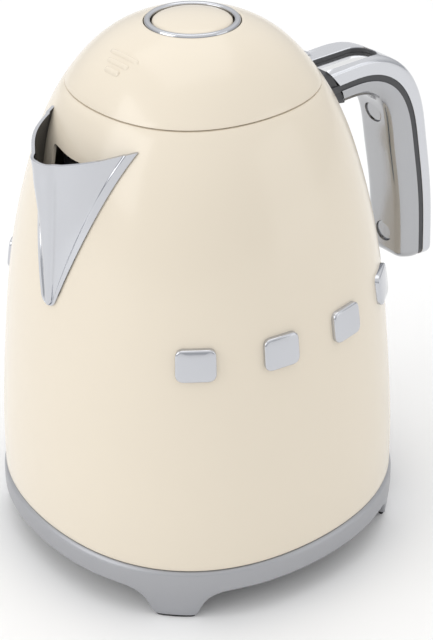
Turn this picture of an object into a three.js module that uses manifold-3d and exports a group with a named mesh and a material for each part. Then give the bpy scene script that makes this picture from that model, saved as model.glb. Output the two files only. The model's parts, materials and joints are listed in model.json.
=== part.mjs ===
// Cordless electric kettle on a round power base: domed enamelled body, V spout, D handle.
// Millimetres, +Z up. Spout toward -X, handle toward +X, feet stand on z = 0.
import * as THREE from "three";
import { mergeVertices } from "three/addons/utils/BufferGeometryUtils.js";
import Module from "manifold-3d";

const wasm = await Module();
wasm.setup();

// Driving dimensions
const turns = 48;
const squareness = 0.0205;
const wall = 1.6;
const gap = 0.3;
const padHeight = 1.7;
const floorBottom = 11.8;
const skirtBottom = 15.2;
const skirtTop = 24.9;
const skirtRadius = 88.2;
const bodyBottom = 25.3;
const seam = 211.6;
const crown = 237;
const plateHeight = 47;
const ringRadius = 19.6;
const spoutTip = 134;
const spoutTop = 203;
const spoutHalf = 28;
const spoutReach = 80.4;
const handleHalf = 13;
const handleEnd = 87.5;
const hinge = { x: 55.4, z: 208.8, r: 1.8 };
const lever = { x: 71, z: 35.6 };

const outline = new THREE.SplineCurve([
  new THREE.Vector2(87.2, bodyBottom),
  new THREE.Vector2(86.6, 50),
  new THREE.Vector2(84.8, 75),
  new THREE.Vector2(82.4, 100),
  new THREE.Vector2(79.4, 125),
  new THREE.Vector2(74.8, 150),
  new THREE.Vector2(68.2, 175),
  new THREE.Vector2(58.7, 200),
  new THREE.Vector2(51.9, seam),
  new THREE.Vector2(41.5, 224.6),
  new THREE.Vector2(30.5, 232.6),
  new THREE.Vector2(ringRadius, crown),
]);
const outlinePoints = outline.getPoints(240);

function radiusAt(z) {
  const i = outlinePoints.findIndex((p) => p.y >= z);
  if (i <= 0) {
    return outlinePoints[0].x;
  }
  const a = outlinePoints[i - 1];
  const b = outlinePoints[i];
  return THREE.MathUtils.lerp(a.x, b.x, (z - a.y) / (b.y - a.y));
}

function solid(geometry) {
  const bare = geometry.clone();
  bare.deleteAttribute("normal");
  bare.deleteAttribute("uv");
  const merged = mergeVertices(bare, 1e-4);
  const mesh = new wasm.Mesh({
    numProp: 3,
    vertProperties: new Float32Array(merged.attributes.position.array),
    triVerts: new Uint32Array(merged.index.array),
  });
  return new wasm.Manifold(mesh);
}

function squared(geometry) {
  const p = geometry.attributes.position;
  for (let i = 0; i < p.count; i += 1) {
    const fade = THREE.MathUtils.clamp((crown - p.getZ(i)) / (crown - seam), 0, 1);
    const angle = Math.atan2(p.getY(i), p.getX(i));
    const k = 1 - squareness * fade * Math.cos(4 * angle);
    p.setXY(i, p.getX(i) * k, p.getY(i) * k);
  }
  return geometry;
}

function turned(points, segments = turns) {
  const profile = points.map(([r, z]) => new THREE.Vector2(r, z));
  return new THREE.LatheGeometry(profile, segments).rotateX(Math.PI / 2);
}

function lathed(points, segments = turns) {
  return solid(turned(points, segments));
}

function plump(points) {
  return solid(squared(turned(points)));
}

function cylinder(r, x, y, z0, z1, segments = 20) {
  return solid(
    new THREE.CylinderGeometry(r, r, z1 - z0, segments).rotateX(Math.PI / 2).translate(x, y, (z0 + z1) / 2),
  );
}

function pinAlongY(r, x, z, y0, y1, segments = 20) {
  return solid(new THREE.CylinderGeometry(r, r, y1 - y0, segments).translate(x, (y0 + y1) / 2, z));
}

function pinAlongX(r, y, z, x0, x1, segments = 20) {
  return solid(
    new THREE.CylinderGeometry(r, r, x1 - x0, segments).rotateZ(Math.PI / 2).translate((x0 + x1) / 2, y, z),
  );
}

function block(x0, x1, y0, y1, z0, z1) {
  return solid(
    new THREE.BoxGeometry(x1 - x0, y1 - y0, z1 - z0).translate((x0 + x1) / 2, (y0 + y1) / 2, (z0 + z1) / 2),
  );
}

function stadium(halfWidth, halfLength, corner = 5) {
  const shape = new THREE.Shape();
  const straight = halfLength - halfWidth;
  shape.absarc(0, straight, halfWidth, 0, Math.PI, false);
  shape.absarc(0, -straight, halfWidth, Math.PI, 2 * Math.PI, false);
  return new THREE.ExtrudeGeometry(shape, { depth: 1, bevelEnabled: false, curveSegments: corner });
}

function polygon(points, depth) {
  const shape = new THREE.Shape(points.map(([a, b]) => new THREE.Vector2(a, b)));
  return new THREE.ExtrudeGeometry(shape, { depth, bevelEnabled: false });
}

// Filled body of revolution up to a height, pushed outward by an offset.
function bodyFill(offset, z0, z1, steps) {
  const points = [[0, z0]];
  for (let i = 0; i <= steps; i += 1) {
    const z = THREE.MathUtils.lerp(z0, z1, i / steps);
    points.push([radiusAt(z) + offset, z]);
  }
  points.push([0, z1]);
  return plump(points);
}

const root = new THREE.Group();
root.name = "kettle_with_base";
const looks = {
  enamel: [0xeee0c8, 0.22, 0.0],
  chrome: [0xd4d6da, 0.12, 1.0],
  satin: [0xa9abb0, 0.38, 0.9],
  dark: [0x46474b, 0.5, 0.0],
  black: [0x1f2022, 0.6, 0.0],
  rubber: [0x161616, 0.9, 0.0],
  steel: [0xb8babd, 0.3, 1.0],
  brass: [0xc9a253, 0.3, 1.0],
  seal: [0xdadada, 0.7, 0.0],
  clear: [0xcfe3ea, 0.08, 0.0],
};

function add(name, look, shape) {
  const mesh = shape.getMesh();
  const geometry = new THREE.BufferGeometry();
  geometry.setAttribute("position", new THREE.BufferAttribute(new Float32Array(mesh.vertProperties), 3));
  geometry.setIndex(new THREE.BufferAttribute(new Uint32Array(mesh.triVerts), 1));
  geometry.computeVertexNormals();
  const [color, roughness, metalness] = looks[look];
  const node = new THREE.Mesh(geometry, new THREE.MeshStandardMaterial({ color, roughness, metalness }));
  node.name = name;
  root.add(node);
}

// Power base: cast skirt with four feet at the corners of its slightly square plan
function archCutter(angle) {
  const shape = new THREE.Shape();
  shape.moveTo(-58, -1);
  shape.lineTo(58, -1);
  shape.lineTo(57, 1.5);
  shape.quadraticCurveTo(52.5, 3, 51.5, 8);
  shape.quadraticCurveTo(50.5, skirtBottom, 41, skirtBottom);
  shape.lineTo(-41, skirtBottom);
  shape.quadraticCurveTo(-50.5, skirtBottom, -51.5, 8);
  shape.quadraticCurveTo(-52.5, 3, -57, 1.5);
  const body = new THREE.ExtrudeGeometry(shape, { depth: 60, bevelEnabled: false, curveSegments: 5 });
  return solid(body.rotateX(Math.PI / 2).rotateZ(Math.PI / 2).translate(50, 0, 0).rotateZ(angle));
}

let skirt = plump([
  [82.6, 2],
  [85.4, padHeight],
  [87.6, 4],
  [skirtRadius, 9],
  [skirtRadius, skirtBottom],
  [87.9, 22.6],
  [86.6, skirtTop],
  [82.6, skirtTop],
  [82.6, 2],
]);
for (let side = 0; side < 4; side += 1) {
  skirt = skirt.subtract(archCutter((side * Math.PI) / 2));
}
add("base_skirt_ring", "satin", skirt);

const corners = { front_left: 225, front_right: 135, rear_left: 315, rear_right: 45 };
for (const [place, degrees] of Object.entries(corners)) {
  const angle = THREE.MathUtils.degToRad(degrees);
  const pad = stadium(2.2, 7.4, 4).rotateZ(angle).translate(86.5 * Math.cos(angle), 86.5 * Math.sin(angle), 0);
  add(`foot_pad_${place}`, "rubber", solid(pad.scale(1, 1, padHeight)));
}

add("base_deck", "black", plump([
  [19, 21.6],
  [82.2, 21.6],
  [82.2, 24.5],
  [19, 24.5],
  [19, 21.6],
]));
let floor = plump([
  [0, floorBottom],
  [82.2, floorBottom],
  [82.2, floorBottom + 2],
  [0, floorBottom + 2],
]);
const screwAngles = [90, 210, 330];
for (const degrees of screwAngles) {
  const angle = THREE.MathUtils.degToRad(degrees);
  floor = floor.subtract(cylinder(3.4, 62 * Math.cos(angle), 62 * Math.sin(angle), 11, 15));
}
add("base_bottom_cover", "black", floor);
screwAngles.forEach((degrees, i) => {
  const angle = THREE.MathUtils.degToRad(degrees);
  const x = 62 * Math.cos(angle);
  const y = 62 * Math.sin(angle);
  add(`base_screw_${i + 1}`, "steel", cylinder(3, x, y, 12, 14, 16).add(cylinder(1.6, x, y, 13.8, 21.2, 12)));
});
add("base_contact_post", "black", lathed([
  [0, 14.1],
  [18.4, 14.1],
  [18.4, 24.5],
  [14.6, 24.5],
  [14.6, 33],
  [12.4, 35],
  [8.6, 35],
  [8.6, 27],
  [0, 27],
], 32));
add("base_contact_ring", "brass", lathed([
  [6.2, 27.3],
  [8.1, 27.3],
  [8.1, 33],
  [6.2, 33],
  [6.2, 27.3],
], 32));
add("base_contact_pin", "brass", cylinder(2.2, 0, 0, 27.3, 34, 20));
const glandBody = block(72, 84, -5.5, 5.5, 5, floorBottom - 0.1);
add("cord_gland", "black", glandBody.subtract(pinAlongX(2.4, 0, 8.2, 76, 90, 16)));

// Kettle body: one drawn steel wall, open mouth, cut for the pouring hole, window and lever
const bodySteps = 10;
const bodyOuter = bodyFill(0, bodyBottom, seam - gap, bodySteps);
const bodyHollow = bodyFill(-wall, bodyBottom - 1, seam + 1, bodySteps);
const pouringHole = solid(
  polygon([[-17, 194], [-16, 190], [-2, 152], [2, 152], [16, 190], [17, 194], [12, 196], [-12, 196]], 60)
    .rotateX(Math.PI / 2).rotateZ(Math.PI / 2).translate(-100, 0, 0),
);
function upright(geometry) {
  return geometry.rotateX(Math.PI / 2).rotateZ(Math.PI / 2);
}
function windowCut(extra) {
  return solid(upright(stadium(5 + extra, 26 + extra, 6)).scale(60, 1, 1).translate(60, 0, 126));
}
const leverSlot = block(78, 92, -4.6, 4.6, lever.z - 6.4, lever.z + 3);
const bodyShell = bodyOuter.subtract(bodyHollow).subtract(pouringHole).subtract(windowCut(0)).subtract(leverSlot);
add("body_shell", "enamel", bodyShell);
add("level_window", "clear", bodyOuter.subtract(bodyHollow).intersect(windowCut(-0.3)));
const sealBand = bodyFill(-wall - gap, 90, 165, 6).subtract(bodyFill(-wall - 1.7, 89, 166, 6));
add("level_window_seal", "seal", sealBand.intersect(windowCut(3.5)).subtract(windowCut(-1.5)));

const plateRim = radiusAt(plateHeight) - wall - gap;
add("heater_plate", "steel", plump([
  [0, plateHeight],
  [plateRim - 1, plateHeight],
  [plateRim - 1, plateHeight + 2],
  [0, plateHeight + 2],
]));
add("heater_element", "steel", lathed([
  [51, 43.2],
  [53, 40.2],
  [57, 40.2],
  [59, 43.2],
  [58, 46.7],
  [52, 46.7],
  [51, 43.2],
], 32));
let cover = plump([
  [31.8, 25.6],
  [84.8, 25.6],
  [84.8, 27.6],
  [31.8, 27.6],
  [31.8, 25.6],
]);
for (const side of [-1, 1]) {
  cover = cover.add(block(lever.x - 3, lever.x + 3, side * 6.4 - 1.6, side * 6.4 + 1.6, 27, lever.z + 3));
}
cover = cover.subtract(pinAlongY(1.5, lever.x, lever.z, -9, 9));
screwAngles.forEach((degrees, i) => {
  const angle = THREE.MathUtils.degToRad(degrees + 90);
  const x = 70 * Math.cos(angle);
  const y = 70 * Math.sin(angle);
  cover = cover.subtract(cylinder(3.3, x, y, 24, 26.6)).subtract(cylinder(1.9, x, y, 25, 29));
  add(`cover_screw_${i + 1}`, "steel", cylinder(2.9, x, y, 25.6, 26.4, 16).add(cylinder(1.6, x, y, 26.3, 40, 12)));
});
add("kettle_bottom_cover", "black", cover);
add("connector_socket", "black", lathed([
  [17.6, 25.2],
  [30.4, 25.2],
  [30.4, 37.2],
  [27, 39.4],
  [0, 39.4],
  [0, 36.2],
  [17.6, 36.2],
  [17.6, 25.2],
], 32));
add("control_module", "dark", block(-24, 24, -19, 19, 39.8, 46.6).subtract(block(-8, 8, -20, 20, 43, 47)));
add("switch_pivot_pin", "steel", pinAlongY(1.2, lever.x, lever.z, -8.2, 8.2, 16));
const leverBar = upright(stadium(3.6, 3.7, 4)).scale(1, 1, 0.55).scale(26, 1, 1).translate(lever.x - 2, 0, lever.z);
const leverTip = solid(new THREE.SphereGeometry(5, 16, 10).scale(1.1, 1.25, 0.62).translate(97, 0, lever.z));
add("switch_lever", "chrome", solid(leverBar).add(leverTip).subtract(pinAlongY(1.4, lever.x, lever.z, -9, 9, 16)));
const tubeLine = new THREE.CatmullRomCurve3([
  new THREE.Vector3(66, 22, plateHeight + 2.3),
  new THREE.Vector3(66, 22, 100),
  new THREE.Vector3(58, 20, 150),
  new THREE.Vector3(42, 16, 197),
]);
const tubeShape = new THREE.Shape().absarc(0, 0, 3.2, 0, 2 * Math.PI, false);
tubeShape.holes.push(new THREE.Path().absarc(0, 0, 2, 0, 2 * Math.PI, true));
add("steam_tube", "steel", solid(
  new THREE.ExtrudeGeometry(tubeShape, { steps: 9, extrudePath: tubeLine, bevelEnabled: false, curveSegments: 5 }),
));

// Spout: a folded V of bright metal, its sharp edge forward, closing to a point on the body
function spoutFill(inset, z0, z1) {
  const shape = new THREE.Shape([
    new THREE.Vector2(0, -1),
    new THREE.Vector2(0.93, -0.11),
    new THREE.Vector2(0.985, -0.05),
    new THREE.Vector2(1, 0),
    new THREE.Vector2(0.985, 0.05),
    new THREE.Vector2(0.93, 0.11),
    new THREE.Vector2(0, 1),
  ]);
  const body = new THREE.ExtrudeGeometry(shape, { depth: z1 - z0, steps: 10, bevelEnabled: false });
  const p = body.attributes.position;
  for (let i = 0; i < p.count; i += 1) {
    const z = z0 + p.getZ(i);
    const t = (z - spoutTip) / (spoutTop - spoutTip);
    const half = Math.max(spoutHalf * t + 1.2 - inset, 0.4);
    const apex = THREE.MathUtils.lerp(77.9, spoutReach, t) - inset;
    const back = radiusAt(Math.min(z, 205)) * (1 - squareness) - 9;
    p.setXYZ(i, -THREE.MathUtils.lerp(back, apex, p.getX(i)), -p.getY(i) * half * 1.12, z);
  }
  return solid(body);
}
const rimCut = solid(
  polygon([[-100, 196.8], [-78, 197.4], [-40, 205.4], [-40, 230], [-100, 230]], 100)
    .rotateX(Math.PI / 2).translate(0, 50, 0),
);
const nearBody = bodyFill(0.3, 100, 215, 14);
const spoutShell = spoutFill(0, spoutTip, spoutTop + 6)
  .subtract(spoutFill(1.5, spoutTip + 4, spoutTop + 8))
  .subtract(rimCut)
  .subtract(nearBody);
add("spout_shell", "chrome", spoutShell);

function tilted(shape) {
  return shape.rotateY(THREE.MathUtils.degToRad(17)).translate(-56.5, 0, 173);
}
const frameOuter = polygon([[-19, 21], [-19, 14], [-5, -26], [5, -26], [19, 14], [19, 21]], 1.6);
const frameInner = polygon([[-16, 18], [-16, 13.5], [-3.5, -22.5], [3.5, -22.5], [16, 13.5], [16, 18]], 4);
const strainerFrame = solid(tilted(upright(frameOuter))).subtract(
  solid(tilted(upright(frameInner).translate(-1, 0, 0))),
);
add("strainer_frame", "dark", strainerFrame);
let strainer = solid(
  tilted(upright(polygon(
    [[-15.6, 17.6], [-15.6, 13.4], [-3.3, -22.1], [3.3, -22.1], [15.6, 13.4], [15.6, 17.6]], 0.6,
  )).translate(0.5, 0, 0)),
);
for (let row = 0; row < 6; row += 1) {
  const z = 157 + row * 5.6;
  const half = 2 + row * 1.9;
  strainer = strainer.subtract(block(-80, -40, -half, half, z, z + 2.2));
}
add("strainer_mesh", "steel", strainer);

// Handle: bright outer and inner halves on a dark core that carries it to the body
const spine = new THREE.CatmullRomCurve3([
  new THREE.Vector3(50, 0, 190.2),
  new THREE.Vector3(72, 0, 190.9),
  new THREE.Vector3(92, 0, 190.3),
  new THREE.Vector3(105.3, 0, 183.8),
  new THREE.Vector3(114.6, 0, 171.5),
  new THREE.Vector3(120.8, 0, 150),
  new THREE.Vector3(126.1, 0, 121.5),
  new THREE.Vector3(128.8, 0, handleEnd),
]);
const spineLength = spine.getLength();

// Sweeps a closed section (across, outward) along the spine with a taper of its own.
function swept(section, taper, steps = 12) {
  const shape = new THREE.Shape(section.map(([y, n]) => new THREE.Vector2(y, n)));
  const bar = new THREE.ExtrudeGeometry(shape, { depth: 1, steps, bevelEnabled: false });
  const p = bar.attributes.position;
  for (let i = 0; i < p.count; i += 1) {
    const u = p.getZ(i);
    const at = spine.getPointAt(u);
    const along = spine.getTangentAt(u);
    const left = (1 - u) * spineLength;
    const shrink = left < 1 ? 0.86 : 1;
    const out = p.getY(i) * taper(u) * shrink;
    p.setXYZ(i, at.x - along.z * out, p.getX(i) * shrink, at.z + along.x * out);
  }
  return solid(bar);
}
const outerTaper = (u) => THREE.MathUtils.lerp(1, 0.8, THREE.MathUtils.smoothstep(u, 0.25, 0.6));
const innerTaper = (u) => THREE.MathUtils.lerp(0.72, 1, THREE.MathUtils.smoothstep(u, 0.25, 0.6));
const outerSection = [
  [-handleHalf, 1.6], [-handleHalf, 5], [-12.4, 7.8], [-11, 9.6], [-8.8, 10.2],
  [8.8, 10.2], [11, 9.6], [12.4, 7.8], [handleHalf, 5], [handleHalf, 1.6],
].reverse();
const innerSection = [
  [-handleHalf, -1.9], [-handleHalf, -5], [-11.6, -10], [-8.6, -12.5],
  [8.6, -12.5], [11.6, -10], [handleHalf, -5], [handleHalf, -1.9],
];
const coreHalf = handleHalf - 0.5;
const coreSection = [[-coreHalf, -1], [coreHalf, -1], [coreHalf, 1], [-coreHalf, 1]];
const shellEnd = bodyFill(8.6, 150, 215, 10);
const collarEnd = bodyFill(8.3, 150, 215, 10);
const clearOfBody = bodyFill(0.3, 150, 215, 10);

const slotCut = solid(stadium(7.4, 34, 6).rotateZ(Math.PI / 2).scale(1, 1, 30).translate(69.6, 0, 194.4));
const screwHeights = [[105.6, 166.6, 0.24], [116.6, 101.4, 0.12]];
function handleDrill(r, x, z, lean, from, to) {
  const tool = new THREE.CylinderGeometry(r, r, to - from, 20).rotateZ(-Math.PI / 2);
  return solid(tool.translate((from + to) / 2, 0, 0).rotateY(-lean).translate(x, 0, z));
}
let outerShell = swept(outerSection, outerTaper).subtract(shellEnd).subtract(slotCut);
let core = swept(coreSection, () => 1);
const collar = swept(
  [[-12.2, -8.6], [12.2, -8.6], [12.2, 4.5], [11, 8], [8, 10], [-8, 10], [-11, 8], [-12.2, 4.5]],
  () => 1,
).intersect(collarEnd);
core = core.add(collar).subtract(clearOfBody);
let innerShell = swept(innerSection, innerTaper).subtract(shellEnd);
screwHeights.forEach(([x, z, lean], i) => {
  innerShell = innerShell
    .subtract(handleDrill(5.3, x, z, lean, -3, 4.4))
    .subtract(handleDrill(2.2, x, z, lean, 0, 20));
  core = core.subtract(handleDrill(2.2, x, z, lean, 0, 20));
  outerShell = outerShell.subtract(handleDrill(2.2, x, z, lean, 0, 17));
  const screw = handleDrill(3.6, x, z, lean, 2.2, 4.1).add(handleDrill(1.8, x, z, lean, 4, 16.5));
  add(`handle_screw_${i + 1}`, "steel", screw);
  add(`handle_screw_plug_${i + 1}`, "chrome", handleDrill(5, x, z, lean, 0.1, 1.9));
});
add("handle_outer_shell", "chrome", outerShell);
add("handle_core", "dark", core.subtract(slotCut));
add("handle_inner_shell", "chrome", innerShell);
const slotFloor = solid(stadium(7, 33.6, 6).rotateZ(Math.PI / 2).scale(1, 1, 0.8).translate(69.6, 0, 194.7));
add("handle_slot_liner", "chrome", slotFloor.subtract(bodyFill(1, 150, 215, 10)));

// Plain bright badges, four to a side, standing on the body wall
const badgeAngles = [-128.5, -102.8, -77.2, -51.5, 51.5, 77.2, 102.8, 128.5];
const badgeShape = new THREE.Shape();
badgeShape.absarc(-4.4, 3.2, 3.6, Math.PI / 2, Math.PI, false);
badgeShape.absarc(-4.4, -3.2, 3.6, Math.PI, 1.5 * Math.PI, false);
badgeShape.absarc(4.4, -3.2, 3.6, 1.5 * Math.PI, 2 * Math.PI, false);
badgeShape.absarc(4.4, 3.2, 3.6, 0, Math.PI / 2, false);
badgeAngles.forEach((degrees, i) => {
  const angle = THREE.MathUtils.degToRad(degrees);
  const out = radiusAt(124) * (1 - squareness * Math.cos(4 * angle));
  const plate = new THREE.ExtrudeGeometry(badgeShape, { depth: 2, bevelEnabled: false, curveSegments: 3 });
  upright(plate).rotateY(-0.145).translate(out + 0.25, 0, 124).rotateZ(angle);
  add(`badge_${i + 1}`, "chrome", solid(plate));
});

// Hinge at the rear of the mouth
function barrel(y0, y1) {
  return pinAlongY(hinge.r, hinge.x, hinge.z, y0, y1, 16);
}
const hingeBore = pinAlongY(1.1, hinge.x, hinge.z, -14, 14, 16);
let ears = block(49, hinge.x + hinge.r, -9.3, 9.3, 204, hinge.z - 2.1);
for (const side of [-1, 1]) {
  const y = side * 7.8;
  ears = ears.add(barrel(y - 1.5, y + 1.5)).add(block(51, hinge.x + hinge.r, y - 1.5, y + 1.5, 204, hinge.z));
}
add("hinge_ears", "chrome", ears.subtract(hingeBore).subtract(bodyFill(0.3, 190, 216, 6)));
add("hinge_pin", "steel", pinAlongY(0.9, hinge.x, hinge.z, -9.5, 9.5, 16));

// Lid: dome with three short raised bars, liner, seal, ring and sprung button
const lidTop = (offset, z0, steps) => {
  const points = [];
  for (let i = 0; i <= steps; i += 1) {
    const z = THREE.MathUtils.lerp(z0, crown - 0.4, Math.sin((i / steps) * (Math.PI / 2)));
    points.push([radiusAt(z) + offset, z]);
  }
  return points;
};
const outerDome = lidTop(0, seam + gap, 6);
const innerDome = lidTop(-1.9, seam + gap, 3).reverse().map(([r, z]) => [r, Math.min(z, 234)]);
const domeWall = plump([
  ...outerDome,
  [ringRadius + 0.2, crown - 0.4],
  [ringRadius + 0.2, 233.4],
  ...innerDome.slice(1),
  outerDome[0],
]);
let lidShell = domeWall;
[[34.5, 19], [37.6, 13], [40.6, 9]].forEach(([x, length]) => {
  const bar = stadium(0.75, length / 2, 3).scale(1, 1, 3);
  const lean = Math.atan2(9, 12);
  const height = 233.4 - (x - 30) * 0.78;
  lidShell = lidShell.add(solid(bar.translate(0, 0, -2.2).rotateY(-lean).translate(-x, 0, height)));
});
add("lid_shell", "enamel", lidShell);
add("lid_liner", "steel", lathed([
  [0, 209.4],
  [47.4, 209.4],
  [48.2, 210.2],
  [48.2, 211.4],
  [0, 211.4],
], 36));
add("lid_seal", "seal", lathed([
  [42, 206.4],
  [47.6, 206.4],
  [48.6, 207.6],
  [47.4, 209.1],
  [42, 209.1],
  [42, 206.4],
], 36));
const leaf = solid(
  polygon([[47, 208.5], [56.6, 208.5], [56.4, 210], [53, 212.4], [49.4, 216.6], [47, 216.6]], 12.2)
    .rotateX(Math.PI / 2).translate(0, 6.1, 0),
);
const knuckle = barrel(-6.1, 6.1).add(leaf);
add("lid_knuckle", "chrome", knuckle.subtract(hingeBore).subtract(bodyFill(0.35, 190, 236, 8)));
add("button_ring", "chrome", lathed([
  [16.9, 233.6],
  [19.5, 233.6],
  [19.5, 236.9],
  [18.9, 237.5],
  [17.4, 237.5],
  [16.9, 237],
  [16.9, 233.6],
], 36));
add("button_guide", "dark", lathed([
  [5.6, 211.7],
  [9.4, 211.7],
  [9.4, 213],
  [6.6, 213],
  [6.6, 219],
  [5.6, 219],
  [5.6, 211.7],
], 24));
add("lid_button", "enamel", lathed([
  [0, 216],
  [4.6, 216],
  [4.6, 232.6],
  [16.4, 232.6],
  [16.4, 236.6],
  [15.4, 237.3],
  [9, 238.4],
  [0, 238.9],
], 32));
add("button_spring", "steel", lathed([
  [7.2, 219.4],
  [8.6, 219.4],
  [8.6, 232.3],
  [7.2, 232.3],
  [7.2, 219.4],
], 24));
add("lid_latch", "dark", block(-40.5, -24, -5, 5, 212, 214.4).add(block(-27, -24, -5, 5, 212, 218)));

root.position.x = -25.3;
root.updateMatrixWorld(true);
export default root;
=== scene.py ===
import json
import math

import bmesh
import bpy
import numpy as np
from mathutils import Matrix, Vector


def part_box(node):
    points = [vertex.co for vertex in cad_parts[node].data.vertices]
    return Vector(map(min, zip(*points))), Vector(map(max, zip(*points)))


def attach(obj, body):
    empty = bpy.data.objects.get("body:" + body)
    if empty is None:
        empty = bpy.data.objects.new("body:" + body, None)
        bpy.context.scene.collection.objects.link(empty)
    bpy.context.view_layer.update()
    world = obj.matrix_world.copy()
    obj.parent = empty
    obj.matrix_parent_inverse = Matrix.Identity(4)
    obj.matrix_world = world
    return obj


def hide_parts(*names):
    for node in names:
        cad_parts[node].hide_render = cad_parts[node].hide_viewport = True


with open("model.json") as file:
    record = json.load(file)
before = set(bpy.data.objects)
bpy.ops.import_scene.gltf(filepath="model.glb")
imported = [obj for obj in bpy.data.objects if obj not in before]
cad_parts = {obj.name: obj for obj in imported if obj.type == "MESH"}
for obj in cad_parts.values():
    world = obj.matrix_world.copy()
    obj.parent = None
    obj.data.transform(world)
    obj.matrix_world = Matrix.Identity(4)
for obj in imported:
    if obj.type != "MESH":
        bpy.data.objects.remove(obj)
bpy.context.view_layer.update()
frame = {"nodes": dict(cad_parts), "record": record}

# Shapes are in millimetres about the kettle's own axis and place() turns them into metres.
# The floor and the lamps are in metres.
MM = 0.001
shell_lo, shell_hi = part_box("body_shell")
AXIS_X = (shell_lo[0] + shell_hi[0]) / 2

# ---------------------------------------------------------------- camera
# Solved from the photograph's outlines; angles are in radians, the eye's place in millimetres
PITCH, YAW, ROLL = 0.5443, 0.0104, -0.0062
HEADING = math.radians(-38.36)
LENS, SHIFT_X, SHIFT_Y = 94.7, 0.009, 0.0005
EYE = Vector((-397.5, -502.2, 483.1)) * MM + Vector((AXIS_X, 0, 0))

forward = Vector((math.sin(YAW) * math.cos(PITCH), math.cos(YAW) * math.cos(PITCH), -math.sin(PITCH)))
forward.rotate(Matrix.Rotation(HEADING, 3, "Z"))
right = forward.cross(Vector((0, 0, 1))).normalized()
up = right.cross(forward)
right, up = (
    right * math.cos(ROLL) + up * math.sin(ROLL),
    up * math.cos(ROLL) - right * math.sin(ROLL),
)
camera = bpy.data.objects.new("camera", bpy.data.cameras.new("camera"))
camera.data.lens = LENS
camera.data.shift_x = SHIFT_X
camera.data.shift_y = SHIFT_Y
camera.matrix_world = Matrix((
    (right.x, up.x, -forward.x, EYE.x),
    (right.y, up.y, -forward.y, EYE.y),
    (right.z, up.z, -forward.z, EYE.z),
    (0, 0, 0, 1),
))
bpy.context.collection.objects.link(camera)
bpy.context.scene.camera = camera


# ---------------------------------------------------------------- curves
def natural_spline(points):
    """A smooth curve through the points, as a function of 0..1 along it, and its length."""
    p = np.array(points, float)
    s = np.concatenate([[0], np.cumsum(np.linalg.norm(np.diff(p, axis=0), axis=1))])
    h = np.diff(s)
    n = len(p)
    system = np.eye(n)
    rhs = np.zeros_like(p)
    for i in range(1, n - 1):
        system[i, i - 1] = h[i - 1]
        system[i, i] = 2 * (h[i - 1] + h[i])
        system[i, i + 1] = h[i]
        rhs[i] = 6 * ((p[i + 1] - p[i]) / h[i] - (p[i] - p[i - 1]) / h[i - 1])
    bend = np.linalg.solve(system, rhs)

    def at(t):
        x = np.clip(np.asarray(t, float), 0, 1) * s[-1]
        i = np.clip(np.searchsorted(s, x, side="right") - 1, 0, n - 2)
        a = (s[i + 1] - x)[..., None]
        b = (x - s[i])[..., None]
        w = h[i][..., None]
        return (
            bend[i] * a**3 / (6 * w)
            + bend[i + 1] * b**3 / (6 * w)
            + (p[i] / w - bend[i] * w / 6) * a
            + (p[i + 1] / w - bend[i + 1] * w / 6) * b
        )

    return at, s[-1]


# How far the round plan leans towards a square, and the heights where the shell changes
SQUARENESS = 0.0205
SEAM, CROWN, BODY_BOTTOM = 211.6, 237.0, 25.3
outline, _ = natural_spline([
    (87.2, 25.3), (86.6, 50), (84.8, 75), (82.4, 100), (79.4, 125), (74.8, 150), (68.2, 175),
    (58.7, 200), (51.9, 211.6), (41.5, 224.6), (30.5, 232.6), (19.6, 237),
])
outline_points = outline(np.linspace(0, 1, 2000))


def radius_at(z):
    return float(np.interp(z, outline_points[:, 1], outline_points[:, 0]))


def squareness_at(z):
    return SQUARENESS * min(max((CROWN - z) / (CROWN - SEAM), 0), 1)


def body_radius(z, angle):
    return radius_at(z) * (1 - squareness_at(z) * math.cos(4 * angle))


def fillet(points, radius, steps=5):
    """Rounds each corner of a closed outline; radius is one number or one for each corner."""
    radii = radius if isinstance(radius, (list, tuple)) else [radius] * len(points)
    out = []
    for i, here in enumerate(points):
        here = Vector(here)
        before = Vector(points[i - 1]) - here
        after = Vector(points[(i + 1) % len(points)]) - here
        r = radii[i]
        if r <= 0 or before.length < 1e-6 or after.length < 1e-6:
            out.append(tuple(here))
            continue
        reach = min(r, before.length * 0.48, after.length * 0.48)
        a = here + before.normalized() * reach
        b = here + after.normalized() * reach
        for k in range(steps + 1):
            t = k / steps
            q = a * (1 - t) ** 2 + here * 2 * t * (1 - t) + b * t**2
            out.append(tuple(q))
    return out


# ---------------------------------------------------------------- mesh helpers
SHARP = 38


def place(name, verts, faces, look, body, replaces=(), slot=None, sharp=SHARP):
    """Builds a mesh; with a body given it also rides, and replaces CAD nodes if any are named."""
    mesh = bpy.data.meshes.new(name)
    mesh.from_pydata([(AXIS_X + x * MM, y * MM, z * MM) for x, y, z in verts], [], faces)
    work = bmesh.new()
    work.from_mesh(mesh)
    bmesh.ops.remove_doubles(work, verts=work.verts, dist=2e-6)
    bmesh.ops.dissolve_degenerate(work, edges=work.edges, dist=1e-7)
    bmesh.ops.recalc_face_normals(work, faces=work.faces)
    work.to_mesh(mesh)
    work.free()
    obj = bpy.data.objects.new(name, mesh)
    bpy.context.collection.objects.link(obj)
    smooth(obj, sharp)
    mesh.materials.append(look)
    if body:
        finish_piece(obj, body, replaces, slot)
    return obj


def smooth(obj, sharp):
    obj.data.shade_smooth()
    obj.data.set_sharp_from_angle(angle=math.radians(sharp))


def finish_piece(obj, body, replaces=(), slot=None):
    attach(obj, body)
    if replaces:
        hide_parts(*replaces)


def grid(rows, cols, wrap_rows=False, wrap_cols=False):
    """Four-sided faces over rows x cols points."""
    faces = []
    for i in range(rows if wrap_rows else rows - 1):
        for j in range(cols if wrap_cols else cols - 1):
            a = i * cols + j
            b = i * cols + (j + 1) % cols
            c = ((i + 1) % rows) * cols + (j + 1) % cols
            d = ((i + 1) % rows) * cols + j
            faces.append((a, b, c, d))
    return faces


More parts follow.
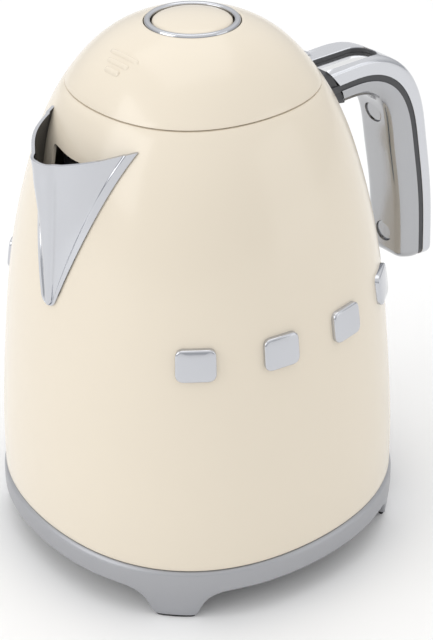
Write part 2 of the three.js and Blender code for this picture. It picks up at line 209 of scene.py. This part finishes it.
def capped(rows, cols):
    """Rows of closed rings joined into a tube, with a face at each end."""
    ends = [tuple(range(cols))[::-1], tuple((rows - 1) * cols + j for j in range(cols))]
    return grid(rows, cols, wrap_cols=True) + ends


def polar(r, angle, z):
    return (r * math.cos(angle), r * math.sin(angle), z)


def turned(name, profile, look, body, turns=160, squared=False, **words):
    """A closed outline of (radius, height) turned about the kettle's axis."""
    verts = []
    for i in range(turns):
        angle = 2 * math.pi * i / turns
        for r, z in profile:
            k = 1 - squareness_at(z) * math.cos(4 * angle) if squared else 1
            verts.append(polar(r * k, angle, z))
    return place(name, verts, grid(turns, len(profile), True, True), look, body, **words)


def carve(obj, *tools):
    """Cuts the tools out of a piece and removes them; the piece keeps its first material."""
    for tool in tools:
        step = obj.modifiers.new("carve", "BOOLEAN")
        step.operation = "DIFFERENCE"
        step.solver = "EXACT"
        step.object = tool
    bpy.context.view_layer.update()
    ready = obj.evaluated_get(bpy.context.evaluated_depsgraph_get())
    mesh = bpy.data.meshes.new_from_object(ready)
    obj.modifiers.clear()
    old = obj.data
    looks_kept = list(old.materials)
    obj.data = mesh
    mesh.materials.clear()
    for look in looks_kept:
        mesh.materials.append(look)
    for polygon in mesh.polygons:
        polygon.material_index = 0
    for tool in tools:
        bpy.data.objects.remove(tool, do_unlink=True)
    smooth(obj, SHARP)


def prism(outline2d, place_point, depth0, depth1):
    """A closed outline swept from depth0 to depth1; place_point(a, b, d) gives x, y, z."""
    verts = [place_point(a, b, d) for d in (depth0, depth1) for a, b in outline2d]
    return verts, capped(2, len(outline2d))


def pill(half_width, half_length, steps=12):
    """A straight-sided outline with round ends."""
    out = []
    straight = half_length - half_width
    for begin, centre in ((0, straight), (math.pi, -straight)):
        for k in range(steps + 1):
            a = begin + math.pi * k / steps
            out.append((half_width * math.cos(a), centre + half_width * math.sin(a)))
    return out


# ---------------------------------------------------------------- materials
def material(name, color, rough, metal=0.0, coat=0.0, grain=900, bump=0.04, depth=0.00004,
             tint=0.03, swing=0.03, patch=28, stretch=(1, 1, 1)):
    """A finish with broad colour drift, uneven gloss and a fine surface grain."""
    look = bpy.data.materials.new(name)
    look.use_nodes = True
    nodes, links = look.node_tree.nodes, look.node_tree.links
    shader = nodes["Principled BSDF"]
    shader.inputs["Metallic"].default_value = metal
    shader.inputs["Coat Weight"].default_value = coat
    shader.inputs["Coat Roughness"].default_value = 0.06
    coords = nodes.new("ShaderNodeTexCoord")
    mapping = nodes.new("ShaderNodeMapping")
    mapping.inputs["Scale"].default_value = stretch
    links.new(coords.outputs["Object"], mapping.inputs["Vector"])

    def noise(scale, detail):
        node = nodes.new("ShaderNodeTexNoise")
        node.inputs["Scale"].default_value = scale
        node.inputs["Detail"].default_value = detail
        links.new(mapping.outputs["Vector"], node.inputs["Vector"])
        return node

    broad = noise(patch, 2)
    fine = noise(grain, 3)
    drift = nodes.new("ShaderNodeMix")
    drift.data_type = "RGBA"
    links.new(broad.outputs["Fac"], drift.inputs["Factor"])
    drift.inputs["A"].default_value = (*[c * (1 - tint) for c in color], 1)
    drift.inputs["B"].default_value = (*[min(1, c * (1 + tint)) for c in color], 1)
    links.new(drift.outputs["Result"], shader.inputs["Base Color"])
    gloss = nodes.new("ShaderNodeMapRange")
    gloss.inputs["To Min"].default_value = max(0.02, rough - swing)
    gloss.inputs["To Max"].default_value = rough + swing
    links.new(broad.outputs["Fac"], gloss.inputs["Value"])
    links.new(gloss.outputs["Result"], shader.inputs["Roughness"])
    relief = nodes.new("ShaderNodeBump")
    relief.inputs["Strength"].default_value = bump
    relief.inputs["Distance"].default_value = depth
    links.new(fine.outputs["Fac"], relief.inputs["Height"])
    links.new(relief.outputs["Normal"], shader.inputs["Normal"])
    return look


enamel = material("cream_enamel", (0.77, 0.69, 0.565), 0.24, coat=0.3, grain=700, bump=0.05,
                  tint=0.012, swing=0.02, patch=18)
# Five base colours for one chrome: the plain studio has none of the photograph's dark and bright
# surroundings, so the colours stand in for what each face would reflect
plated = {"metal": 1, "grain": 1500, "bump": 0.03, "patch": 60}
chrome = material("bright_chrome", (0.57, 0.58, 0.61), 0.11, tint=0.015, **plated)
shaded_chrome = material("shaded_chrome", (0.44, 0.445, 0.46), 0.13, tint=0.02, **plated)
# Painted shade: a near-black chrome for the inside of the spout's fold
painted_shade_chrome = material("painted_shade_chrome", (0.15, 0.153, 0.16), 0.15, **plated)
# Painted highlight: a near-white chrome for the slot's floor, standing in for the bright sky it would
# reflect
painted_highlight_chrome = material("painted_highlight_chrome", (0.97, 0.97, 0.97), 0.08, metal=1, grain=1500, bump=0.02, tint=0.01)
# Painted reflection: a lighter chrome for the handle's outer shell, standing in for bright surroundings
handle_chrome_painted_reflection = material("handle_chrome_painted_reflection", (0.64, 0.65, 0.68), 0.16, tint=0.015, **plated)
satin = material("satin_metal", (0.40, 0.405, 0.425), 0.42, metal=0.6, grain=5200, bump=0.22, tint=0.02,
                 swing=0.04, patch=45)
dark = material("dark_grey_plastic", (0.050, 0.051, 0.056), 0.42, grain=4200, bump=0.2, tint=0.06)
black = material("black_plastic", (0.022, 0.022, 0.024), 0.5, grain=3600, bump=0.3, tint=0.08, swing=0.06)
rubber = material("black_rubber", (0.014, 0.014, 0.014), 0.8, grain=2600, bump=0.4, tint=0.1, swing=0.05)
steel = material("plain_steel", (0.62, 0.62, 0.63), 0.28, metal=1, grain=900, bump=0.12, tint=0.03,
                 swing=0.06, patch=40, stretch=(1, 1, 9))
brass = material("contact_brass", (0.72, 0.50, 0.22), 0.25, metal=1, grain=1800, bump=0.1, tint=0.05)
seal = material("silicone_seal", (0.62, 0.62, 0.60), 0.6, grain=2400, bump=0.25, tint=0.03)
window_look = material("clear_window", (0.80, 0.88, 0.90), 0.08, coat=0.4, grain=500, bump=0.04, tint=0.02)
window_look.node_tree.nodes["Principled BSDF"].inputs["Transmission Weight"].default_value = 0.85
looks = {
    "cream_enamel": enamel, "bright_chrome": chrome, "satin_metal": satin, "dark_grey_plastic": dark,
    "black_plastic": black, "black_rubber": rubber, "plain_steel": steel, "contact_brass": brass,
    "silicone_seal": seal, "clear_window": window_look,
}
for row in frame["record"]["subparts"]:
    node = frame["nodes"][row["node"]]
    node.data.materials.clear()
    node.data.materials.append(looks[row["material_slot"]])

# ---------------------------------------------------------------- body
# The wall's thickness, half of the gap at the seam, and how far in the rim turns at the seam
WALL, HALF_GAP, RIM_IN = 1.6, 0.22, 3
BODY_TURNS = 224
heights = np.linspace(BODY_BOTTOM + 1.2, SEAM - 1.6, 84)
top = SEAM - HALF_GAP
outer_line = [(radius_at(z), z) for z in heights]
inner_line = [(radius_at(z) - WALL, z) for z in heights[::-1]]
body_profile = (
    [(radius_at(BODY_BOTTOM) - 1.3, BODY_BOTTOM + 0.05), (radius_at(BODY_BOTTOM) - 0.35, BODY_BOTTOM + 0.25)]
    + outer_line
    + [(radius_at(top) + 0.02, top - 0.45), (radius_at(top) - 0.25, top - 0.1), (radius_at(top) - 0.7, top)]
    + [(radius_at(top) - WALL - RIM_IN, top), (radius_at(top) - WALL - RIM_IN, top - 1.2)]
    + inner_line
)
body = turned("kettle_body", body_profile, enamel, None, turns=BODY_TURNS, squared=True)


def along_x(a, b, d):
    return (d, a, b)


# Openings behind the spout, at the level window and at the switch lever
hole = fillet([(-16.5, 194.5), (-2.6, 150), (2.6, 150), (16.5, 194.5), (0, 192.5)], [3, 3, 3, 3, 20])
pouring = place("pouring_tool", *prism(hole, along_x, -90, -40), enamel, None)
WINDOW_Z = 126
window_hole = [(a, b + WINDOW_Z) for a, b in pill(5, 26)]
window_tool = place("window_tool", *prism(window_hole, along_x, 60, 100), enamel, None)
lever_hole = fillet([(-4.6, 29.2), (4.6, 29.2), (4.6, 38.6), (-4.6, 38.6)], 1.5)
lever_tool = place("lever_tool", *prism(lever_hole, along_x, 74, 100), enamel, None)
carve(body, pouring, window_tool, lever_tool)
finish_piece(body, "kettle", ["body_shell"], "cream_enamel")

# ---------------------------------------------------------------- lid
lid_z = SEAM + HALF_GAP
# The crown's hole, where the dome stops below the crown, and the dome's thickness
RING_R, CROWN_DROP, DOME_WALL = 19.9, 0.5, 2.2
dome_top = CROWN - CROWN_DROP
rise = [lid_z + (dome_top - lid_z) * math.sin(t) for t in np.linspace(0.06, math.pi / 2, 40)]
lid_profile = (
    [(radius_at(lid_z) - DOME_WALL, lid_z), (radius_at(lid_z) - 0.7, lid_z)]
    + [(radius_at(lid_z) - 0.2, lid_z + 0.15), (radius_at(lid_z + 0.6) + 0.02, lid_z + 0.6)]
    + [(radius_at(z), z) for z in rise[1:]]
    + [(RING_R + 0.1, dome_top), (RING_R, 236.2), (RING_R, 233.4), (RING_R + 2, 233.2)]
    + [(radius_at(z) - DOME_WALL, z - 0.6) for z in rise[::-4] if z < 233]
)
lid = turned("lid_dome", lid_profile, enamel, None, turns=BODY_TURNS, squared=True)


def dome_height(x, y):
    r = math.hypot(x, y)
    return float(np.interp(-r, -outline_points[:, 0], outline_points[:, 1]))


# Three plain raised bars on the front of the dome: distance from the axis and half length of each
LID_BARS = [(34.6, 9.4), (37.7, 6.8), (40.6, 4.4)]
# How closely each bar follows a circle about the axis, where 1 would be a true circle
BAR_CURVE = 0.35
across = [(-0.95, -0.5), (-0.8, 0.12), (-0.45, 0.42), (0, 0.5), (0.45, 0.42), (0.8, 0.12), (0.95, -0.5)]
for i, (x, half) in enumerate(LID_BARS):
    rows = []
    steps = 25
    for k in range(steps):
        y = -half + 2 * half * k / (steps - 1)
        end = min(1.0, math.sqrt(max(0.0, 1 - (abs(y) / half) ** 10)))
        for a, lift in across:
            px = -(math.sqrt(max(x * x - BAR_CURVE * y * y, 1)) + a * max(end, 0.1))
            rows.append((px, y, dome_height(px, y) + (lift * end - (1 - end) * 0.3)))
    faces = grid(steps, len(across)) + [tuple(range(len(across)))[::-1]]
    faces.append(tuple(len(rows) - len(across) + j for j in range(len(across))))
    place(f"lid_bar_{i + 1}", rows, faces, enamel, "lid", slot="cream_enamel", sharp=60)
finish_piece(lid, "lid", ["lid_shell"], "cream_enamel")

ring_profile = fillet(
    [(17.0, 233.6), (19.6, 233.6), (19.6, 236.6), (19.0, 237.55), (17.6, 237.55), (17.0, 237.0)],
    [0.1, 0.1, 0.5, 0.7, 0.6, 0.3],
)
BUTTON_TURNS = 128
turned("button_bezel", ring_profile, chrome, "lid", turns=BUTTON_TURNS, replaces=["button_ring"],
       slot="bright_chrome")
button_profile = [(0, 238.9), (4, 238.8), (8, 238.5), (11, 238.1), (13.5, 237.6), (15, 237.2), (15.9, 236.8)]
button_profile += [(16.3, 236.4), (16.4, 235.9), (16.4, 232.6), (4.6, 232.4), (4.6, 216.2), (0, 216.0)]
turned("press_button", button_profile, enamel, "button", turns=BUTTON_TURNS, replaces=["lid_button"],
       slot="cream_enamel")

# ---------------------------------------------------------------- power base skirt and feet
SKIRT_R, SKIRT_LOW, SKIRT_TOP = 88.2, 14.2, 24.9
# Lower edge of the ring: distance round it from a foot's middle, and height
foot_curve = np.array([
    (0, 0.9), (7.3, 0.9), (9.0, 1.4), (10.1, 3.0), (11.0, 5.2), (12.2, 7.8), (14.0, 10.3), (16.8, 12.4),
    (20.5, 13.7), (26, 14.2), (80, 14.2),
])


def skirt_low(angle):
    """Height of the ring's lower edge, with the curve's corners averaged out."""
    t = abs((angle - math.pi / 4) % (math.pi / 2))
    t = min(t, math.pi / 2 - t) * SKIRT_R
    soft = [np.interp(t + d, foot_curve[:, 0], foot_curve[:, 1]) for d in (-0.7, -0.35, 0, 0.35, 0.7)]
    return float(np.mean(soft))


turns = 720
verts = []
for i in range(turns):
    angle = 2 * math.pi * i / turns
    low = skirt_low(angle)
    k = 1 - SQUARENESS * math.cos(4 * angle)
    flare = (SKIRT_LOW - low) / SKIRT_LOW
    column = [
        (82.9, SKIRT_TOP - 0.2), (85.6, SKIRT_TOP), (86.5, SKIRT_TOP), (86.9, SKIRT_TOP - 0.15),
        (87.75, SKIRT_TOP - 1.15), (87.95, SKIRT_TOP - 1.6),
    ]
    for j in range(9):
        t = j / 8
        z = (SKIRT_TOP - 2.4) * (1 - t) + (low + 0.9) * t
        bulge = 88.0 + 0.25 * math.sin(math.pi * min(1, (SKIRT_TOP - z) / 16)) - 1.0 * flare * t**3
        column.append((bulge, z))
    edge = column[-1][0]
    column += [(edge - 0.12, low + 0.45), (edge - 0.5, low + 0.1), (edge - 1.2, low)]
    column += [(83.4, low), (82.9, low + 0.4)]
    verts += [polar(r * k, angle, z) for r, z in column]
place("base_skirt", verts, grid(turns, len(column), True, True), satin, "power_base",
      replaces=["base_skirt_ring"], slot="satin_metal", sharp=50)

FOOT_DEGREES = {"front_left": 225, "front_right": 135, "rear_left": 315, "rear_right": 45}
PAD_MIDDLE = 85.4
for place_name, degrees in FOOT_DEGREES.items():
    middle = math.radians(degrees)
    verts = []
    reach = 8.2
    steps = 22
    section = fillet([(83.7, 0), (86.5, 0), (86.5, 1.55), (83.7, 1.55)], 0.35, 3)
    for i in range(steps + 1):
        t = -reach + 2 * reach * i / steps
        pinch = math.sqrt(max(0.02, 1 - (abs(t) / (reach + 0.02)) ** 8))
        angle = middle + t / 86.0
        k = 1 - SQUARENESS * math.cos(4 * angle)
        for r, z in section:
            r = PAD_MIDDLE + (r - PAD_MIDDLE) * pinch
            verts.append(polar(r * k, angle, z))
    place(f"rubber_foot_{place_name}", verts, capped(steps + 1, len(section)), rubber, "power_base",
          replaces=[f"foot_pad_{place_name}"], slot="black_rubber")

# ---------------------------------------------------------------- spout
TIP_Z, RIM_HALF, TIP_HALF = 133.0, 28.5, 3.6
# Sheet thickness, the share of each half that the rounded fold takes, and how far the fold turns
SPOUT_WALL, FOLD, FOLD_TURN = 1.35, 0.16, math.radians(52)
# The share of the height where the tip rounds off
TIP_ROUND = 0.035
# Raised bands: width along the body, width along the fold, slope width and height
FLANGE, RIDGE, SLOPE, RAISED = 4.8, 3.6, 1.3, 0.75


def rim_height(u):
    a = abs(u)
    return float(np.interp(a, [0, 0.1, 0.25, 0.5, 0.8, 1.0], [197.9, 197.6, 198.0, 200.0, 202.2, 203.6]))


def spout_point(u, t, depth):
    """u -1..1 across the fold, t 0..1 from tip to rim, depth inward from the outer face."""
    z = TIP_Z + (rim_height(u) - TIP_Z) * t
    a = abs(u)
    side = 1 if u >= 0 else -1
    low = min(t / TIP_ROUND, 1)
    half = 0.3 + (TIP_HALF - 0.3) * math.sqrt(low * (2 - low)) + (RIM_HALF - TIP_HALF) * t**0.96
    wall_r = body_radius(z, math.pi - math.asin(min(half / radius_at(z), 0.9)))
    root_x = math.sqrt(max(wall_r**2 - half**2, 1)) + 0.1
    apex_x = float(np.interp(t, [0, 0.3, 0.6, 0.8, 1], [76.9, 76.6, 76.9, 77.7, 79.0]))
    nose = (1.6 + 7.6 * t**1.5) * min(0.25 + low, 1)
    s = np.clip((a - FOLD) / (1 - FOLD), 0, 1)
    bow = math.sin(math.pi * s) ** 1.2
    if a < FOLD:
        turn = (a / FOLD) * FOLD_TURN
        x = apex_x - nose * (1 - math.cos(turn))
        y = nose * math.sin(turn)
    else:
        x0 = apex_x - nose * (1 - math.cos(FOLD_TURN))
        y0 = nose * math.sin(FOLD_TURN)
        x = x0 + (root_x - x0) * s
        y = y0 + (half - y0) * s
        hollow = (1.3 * t - 4.0 * smoothstep((t - 0.45) / 0.55)) * bow
        dx, dy = root_x - x0, half - y0
        length = math.hypot(dx, dy)
        x -= hollow * dy / length
        y += hollow * dx / length
    flange = (FLANGE - (1 - a) * (half + 6)) / SLOPE
    ridge = (RIDGE - max(a - 0.10, 0) * (half + 6)) / SLOPE
    calm = 1 - smoothstep((t - 0.8) / 0.15)
    raise_by = RAISED * max(smoothstep(flange), smoothstep(ridge) * calm) - depth
    dx, dy = root_x - apex_x, half
    length = math.hypot(dx, dy)
    blend_nose = np.clip(a / FOLD, 0, 1)
    nx = (1 - blend_nose) + blend_nose * dy / length
    ny = blend_nose * -dx / length
    return (-(x + nx * raise_by), side * (y + ny * raise_by), z)


def smoothstep(v):
    v = float(np.clip(v, 0, 1))
    return v * v * (3 - 2 * v)


us = np.concatenate([
    -np.linspace(1, FOLD, 70)[:-1], np.linspace(-FOLD, FOLD, 25), np.linspace(FOLD, 1, 70)[1:],
])
ts = np.concatenate([
    [0, 0.003, 0.008, 0.015, 0.024], np.linspace(TIP_ROUND, 0.94, 60), np.linspace(0.95, 1, 8),
])
outer = [spout_point(u, t, 0.0) for t in ts for u in us]
inner = [spout_point(u, t, SPOUT_WALL) for t in ts for u in us]
n_u, n_t = len(us), len(ts)
count = len(outer)
faces = grid(n_t, n_u) + [tuple(count + v for v in f[::-1]) for f in grid(n_t, n_u)]
for i in range(n_t - 1):
    for j in (0, n_u - 1):
        a, b = i * n_u + j, (i + 1) * n_u + j
        faces.append((a, b, count + b, count + a))
for i in (0, n_t - 1):
    for j in range(n_u - 1):
        a, b = i * n_u + j, i * n_u + j + 1
        faces.append((a, b, count + b, count + a))
spout = place("spout", outer + inner, faces, chrome, None, sharp=42)
# Faces that look back towards the handle are the inside of the fold, given a near-black chrome as painted
# shade
spout.data.materials.append(painted_shade_chrome)
for face in spout.data.polygons:
    face.material_index = 1 if face.normal.x > 0.2 else 0
soften = spout.modifiers.new("soften", "BEVEL")
soften.width = 0.00025
soften.segments = 2
soften.limit_method = "ANGLE"
soften.angle_limit = math.radians(50)
finish_piece(spout, "kettle", ["spout_shell"], "bright_chrome")

# ---------------------------------------------------------------- handle
# Half width of the handle, the height of its free end, and how far its top face is from the curve
HANDLE_HALF, HANDLE_END, ARM_TOP = 13.0, 87.5, 10
spine, spine_length = natural_spline([
    (50, 190.2), (72, 190.9), (92, 190.3), (105.3, 183.8), (114.6, 171.5), (120.8, 150), (126.1, 121.5),
    (128.8, HANDLE_END),
])
# Share of the curve where the arm starts, share where its rings draw closer together, and the
# length over which its end rounds off
START, CLOSER, END_ROUND = 22.0 / spine_length, 0.955, 5.0
# The tapers change between these two places along the arm
TAPER_FROM, TAPER_TO = 0.25, 0.6


# Above this height the body's outline beside the handle counts as upright
UPRIGHT_FROM = 214


def shell_radius(z, extra):
    """The body's radius on the handle's side, with a gap added."""
    return radius_at(min(z, UPRIGHT_FROM)) * (1 - SQUARENESS) + extra


def swept(name, section, taper, clearance, look, slant=0.0):
    """A section of (across, outward) points carried down the handle.

    clearance is the gap left to the body at the arm's top face, and slant widens it below that.
    """
    verts = []
    us = np.concatenate([np.linspace(START, CLOSER, 96), np.linspace(0.96, 1, 12)])
    for row, u in enumerate(np.concatenate([[START - 0.06, START - 0.03], us])):
        x, z = spine(u)
        ahead, behind = spine(min(u + 0.002, 1)), spine(max(u - 0.002, 0))
        along = (ahead - behind) / np.linalg.norm(ahead - behind)
        left = (1 - u) * spine_length
        shrink = 1.0
        if left < END_ROUND:
            drop = END_ROUND * (1 - math.sqrt(max(0.0, 1 - (1 - left / END_ROUND) ** 2)))
            shrink = 1 - drop / HANDLE_HALF
        for y, n in section:
            y2 = y * shrink
            out = n * taper(u) * shrink
            px, pz = x - along[1] * out, z + along[0] * out - 0.14 * out * smoothstep(1 - left / 12)
            if row < 3:
                gap = clearance + max(ARM_TOP - n, 0) * slant
                reach = math.sqrt(max(shell_radius(pz, gap) ** 2 - y2**2, 1))
                px = reach + (px - reach) * (row / 3 if px > reach else 0)
            verts.append((px, y2, pz))
    return place(name, verts, capped(len(us) + 2, len(section)), look, None)


def taper(start, end):
    """A thickness factor that goes from start to end down the arm."""
    return lambda u: start + (end - start) * smoothstep((u - TAPER_FROM) / (TAPER_TO - TAPER_FROM))


outer_section = fillet(
    [(HANDLE_HALF, 1.6), (HANDLE_HALF, 9.6), (6, ARM_TOP)]
    + [(-6, ARM_TOP), (-HANDLE_HALF, 9.6), (-HANDLE_HALF, 1.6)],
    [0.4, 3.4, 4, 4, 3.4, 0.4], 9,
)
inner_section = fillet(
    [(HANDLE_HALF, -1.6), (HANDLE_HALF, -6.2), (10, -12.5)]
    + [(-10, -12.5), (-HANDLE_HALF, -6.2), (-HANDLE_HALF, -1.6)],
    [0.4, 4.2, 3.4, 3.4, 4.2, 0.4], 9,
)
core_section = fillet([(12.5, -1.7), (-12.5, -1.7), (-12.5, 1.6), (12.5, 1.6)], 0.2, 2)
collar_section = fillet([(12.2, -8.3), (-12.2, -8.3), (-12.2, 9.0), (12.2, 9.0)], 3, 6)
# The gap to the body widens by this much for each millimetre below the arm's top face
SLANT = 0.42
# The outer shell's lighter chrome is a painted reflection
outer_shell = swept("handle_outer", outer_section, taper(1.0, 0.8), 8.0, handle_chrome_painted_reflection, slant=SLANT)
inner_shell = swept("handle_inner", inner_section, taper(0.72, 1.0), 11.5, shaded_chrome)
core = swept("handle_core_strip", core_section, taper(1.0, 1.0), 2.0, dark)

# The slot: straight walls low down, edges that roll over into the two rails
SLOT_X, SLOT_STRAIGHT = 66.5, 27.5


def slot_ring(half_width, half_length):
    return [(SLOT_X + b, a) for a, b in pill(half_width, half_length)]


slot_rings = [
    (7.4, 194.2), (7.4, 197.3), (7.7, 197.9), (8.5, 198.7), (9.5, 199.6), (10.3, 200.3), (11.2, 200.8),
    (12, 215),
]
slot_verts = []
for half, z in slot_rings:
    slot_verts += [(x, y, z) for x, y in slot_ring(half, SLOT_STRAIGHT + half)]
slot_n = len(slot_verts) // len(slot_rings)
slot_tool = place("slot_tool", slot_verts, capped(len(slot_rings), slot_n), dark, None)
carve(outer_shell, slot_tool)
finish_piece(outer_shell, "kettle", ["handle_outer_shell"], "bright_chrome")


def drill_frame(x, z, lean):
    """Places (across, across, along) about a line that leans up from +X and starts at (x, 0, z)."""
    out = Vector((math.cos(lean), 0, math.sin(lean)))
    over = Vector((0, 1, 0))
    third = out.cross(over)
    return lambda a, b, d: tuple(Vector((x, 0, z)) + out * d + over * a + third * b)


def disc(name, x, z, lean, r, d0, d1, edge, look):
    """A round plug along a leaning line, with a softened edge at its inner end."""
    at = drill_frame(x, z, lean)
    profile = [
        (0.01, d0), (r * 0.7, d0), (r - edge, d0), (r - edge * 0.3, d0 + edge * 0.3), (r, d0 + edge),
        (r, d1), (0.01, d1),
    ]
    turns = 40
    verts = [
        at(rr * math.cos(2 * math.pi * i / turns), rr * math.sin(2 * math.pi * i / turns), d)
        for i in range(turns) for rr, d in profile
    ]
    return place(name, verts, grid(turns, len(profile), True, True), look, None, sharp=45)


# Two screws in the handle's inner half: x, height and lean in radians
SCREWS = [(105.6, 166.6, 0.24), (116.6, 101.4, 0.12)]
POCKET_R, PLUG_R = 5.2, 5.17
tools = []
for i, (x, z, lean) in enumerate(SCREWS):
    tools.append(disc(f"pocket_{i}", x, z, lean, POCKET_R, -4.0, 4.4, 0.1, chrome))
carve(inner_shell, *tools)
finish_piece(inner_shell, "kettle", ["handle_inner_shell"], "bright_chrome")
for i, (x, z, lean) in enumerate(SCREWS):
    plug = disc(f"screw_plug_{i + 1}", x, z, lean, PLUG_R, -0.4, 1.5, 0.35, shaded_chrome)
    finish_piece(plug, "kettle", [f"handle_screw_plug_{i + 1}"], "bright_chrome")

# The collar: the dark core swells where it meets the body
verts = []
steps = 10
for k in range(steps + 1):
    t = k / steps
    for y, n in collar_section:
        z = 190.7 + n * (1.0 - 0.06 * math.sin(math.pi * t))
        near = math.sqrt(shell_radius(z, 0.2) ** 2 - y**2)
        ledge = min(7.8 + max(ARM_TOP - n, 0) * SLANT, 11.8)
        far = math.sqrt(shell_radius(z, ledge) ** 2 - y**2)
        pinch = 1 - 0.05 * math.sin(math.pi * t)
        verts.append((near + (far - near) * t, y * pinch, z))
place("handle_collar", verts, capped(steps + 1, len(collar_section)), dark, "kettle",
      slot="dark_grey_plastic", sharp=50)
finish_piece(core, "kettle", ["handle_core"], "dark_grey_plastic")

# The slot's floor, in a near-white chrome as painted highlight; its end next to the body follows the body's
# round wall
liner_tube = prism(slot_ring(7.2, 34.7), lambda a, b, d: (a, b, d), 194.5, 195.4)
liner = place("slot_liner", *liner_tube, painted_highlight_chrome, None)
for vertex in liner.data.vertices:
    x = vertex.co.x / MM - AXIS_X / MM
    if x < 62:
        vertex.co.x = (AXIS_X / MM + SLOT_X - vertex.co.y**2 / MM**2 / 130) * MM
finish_piece(liner, "kettle", ["handle_slot_liner"], "bright_chrome")

# A dark band round the slot's wall, held clear of the body: painted shade standing in for the wall's
# shadowed inside
WALL_START = 61.5
wall_outer, wall_inner = slot_ring(7.38, 34.88), slot_ring(7.0, 34.5)
wall_rings = [(wall_outer, 195.5), (wall_inner, 195.5), (wall_inner, 197.1), (wall_outer, 197.3)]
verts = [(max(x, WALL_START), y, z) for ring, z in wall_rings for x, y in ring]
place("slot_wall_painted_shade", verts, grid(4, len(wall_outer), True, True), dark, "kettle", slot="dark_grey_plastic")

# ---------------------------------------------------------------- badges
BADGE_Z = 124.0
BADGE_DEGREES = [-128.5, -102.8, -77.2, -51.5, 51.5, 77.2, 102.8, 128.5]
badge_outline = fillet([(-8, -6.9), (8, -6.9), (8, 6.9), (-8, 6.9)], 3.4, 6)
# Each ring is the outline's scale and its height above the wall
badge_rings = [(1.0, -0.3), (1.0, 1.4), (0.985, 1.75), (0.95, 2.0), (0.90, 2.1), (0.5, 2.14), (0.02, 2.15)]
for i, degrees in enumerate(BADGE_DEGREES):
    middle = math.radians(degrees)
    verts = []
    for k, lift in badge_rings:
        for a, b in badge_outline:
            z = BADGE_Z + b * k
            angle = middle + a * k / radius_at(BADGE_Z)
            verts.append(polar(body_radius(z, angle) + lift, angle, z))
    faces = capped(len(badge_rings), len(badge_outline))
    place(f"plain_badge_{i + 1}", verts, faces, chrome, "kettle", replaces=[f"badge_{i + 1}"],
          slot="bright_chrome", sharp=55)

# ---------------------------------------------------------------- floor, light
floor = bpy.data.meshes.new("floor")
floor.from_pydata([(-5, -5, 0), (5, -5, 0), (5, 5, 0), (-5, 5, 0)], [], [(0, 1, 2, 3)])
floor_obj = bpy.data.objects.new("floor", floor)
bpy.context.collection.objects.link(floor_obj)
floor.materials.append(material("pale_floor", (0.92, 0.92, 0.92), 0.65, grain=300, bump=0.02, tint=0.004))

LAMP_TARGET = Vector((0, 0, 0.1))


def softbox(name, position, size, power):
    """A square lamp, in metres and watts, that faces LAMP_TARGET."""
    lamp = bpy.data.lights.new(name, "AREA")
    lamp.shape = "RECTANGLE"
    lamp.size, lamp.size_y = size, size
    lamp.energy = power
    obj = bpy.data.objects.new(name, lamp)
    obj.location = position
    obj.rotation_euler = (LAMP_TARGET - Vector(position)).to_track_quat("-Z", "Y").to_euler()
    bpy.context.collection.objects.link(obj)


softbox("key", (-1.7, 0.35, 0.9), 1.2, 8)
softbox("fill", (1.0, -1.5, 0.5), 1.0, 2)
softbox("overhead", (0.1, 0.3, 1.8), 1.6, 6)

# A pale room that is brighter above than below
world = bpy.data.worlds.new("studio")
bpy.context.scene.world = world
world.use_nodes = True
nodes, links = world.node_tree.nodes, world.node_tree.links
sky = nodes["Background"]
coords = nodes.new("ShaderNodeTexCoord")
split = nodes.new("ShaderNodeSeparateXYZ")
links.new(coords.outputs["Generated"], split.inputs["Vector"])
ramp = nodes.new("ShaderNodeValToRGB")
ramp.color_ramp.elements[0].position = 0.0
ramp.color_ramp.elements[0].color = (0.52, 0.53, 0.55, 1)
ramp.color_ramp.elements[1].position = 0.55
ramp.color_ramp.elements[1].color = (1.0, 1.0, 1.0, 1)
links.new(split.outputs["Z"], ramp.inputs["Fac"])
links.new(ramp.outputs["Color"], sky.inputs["Color"])
sky.inputs["Strength"].default_value = 0.96
bpy.context.scene.view_settings.view_transform = "Standard"
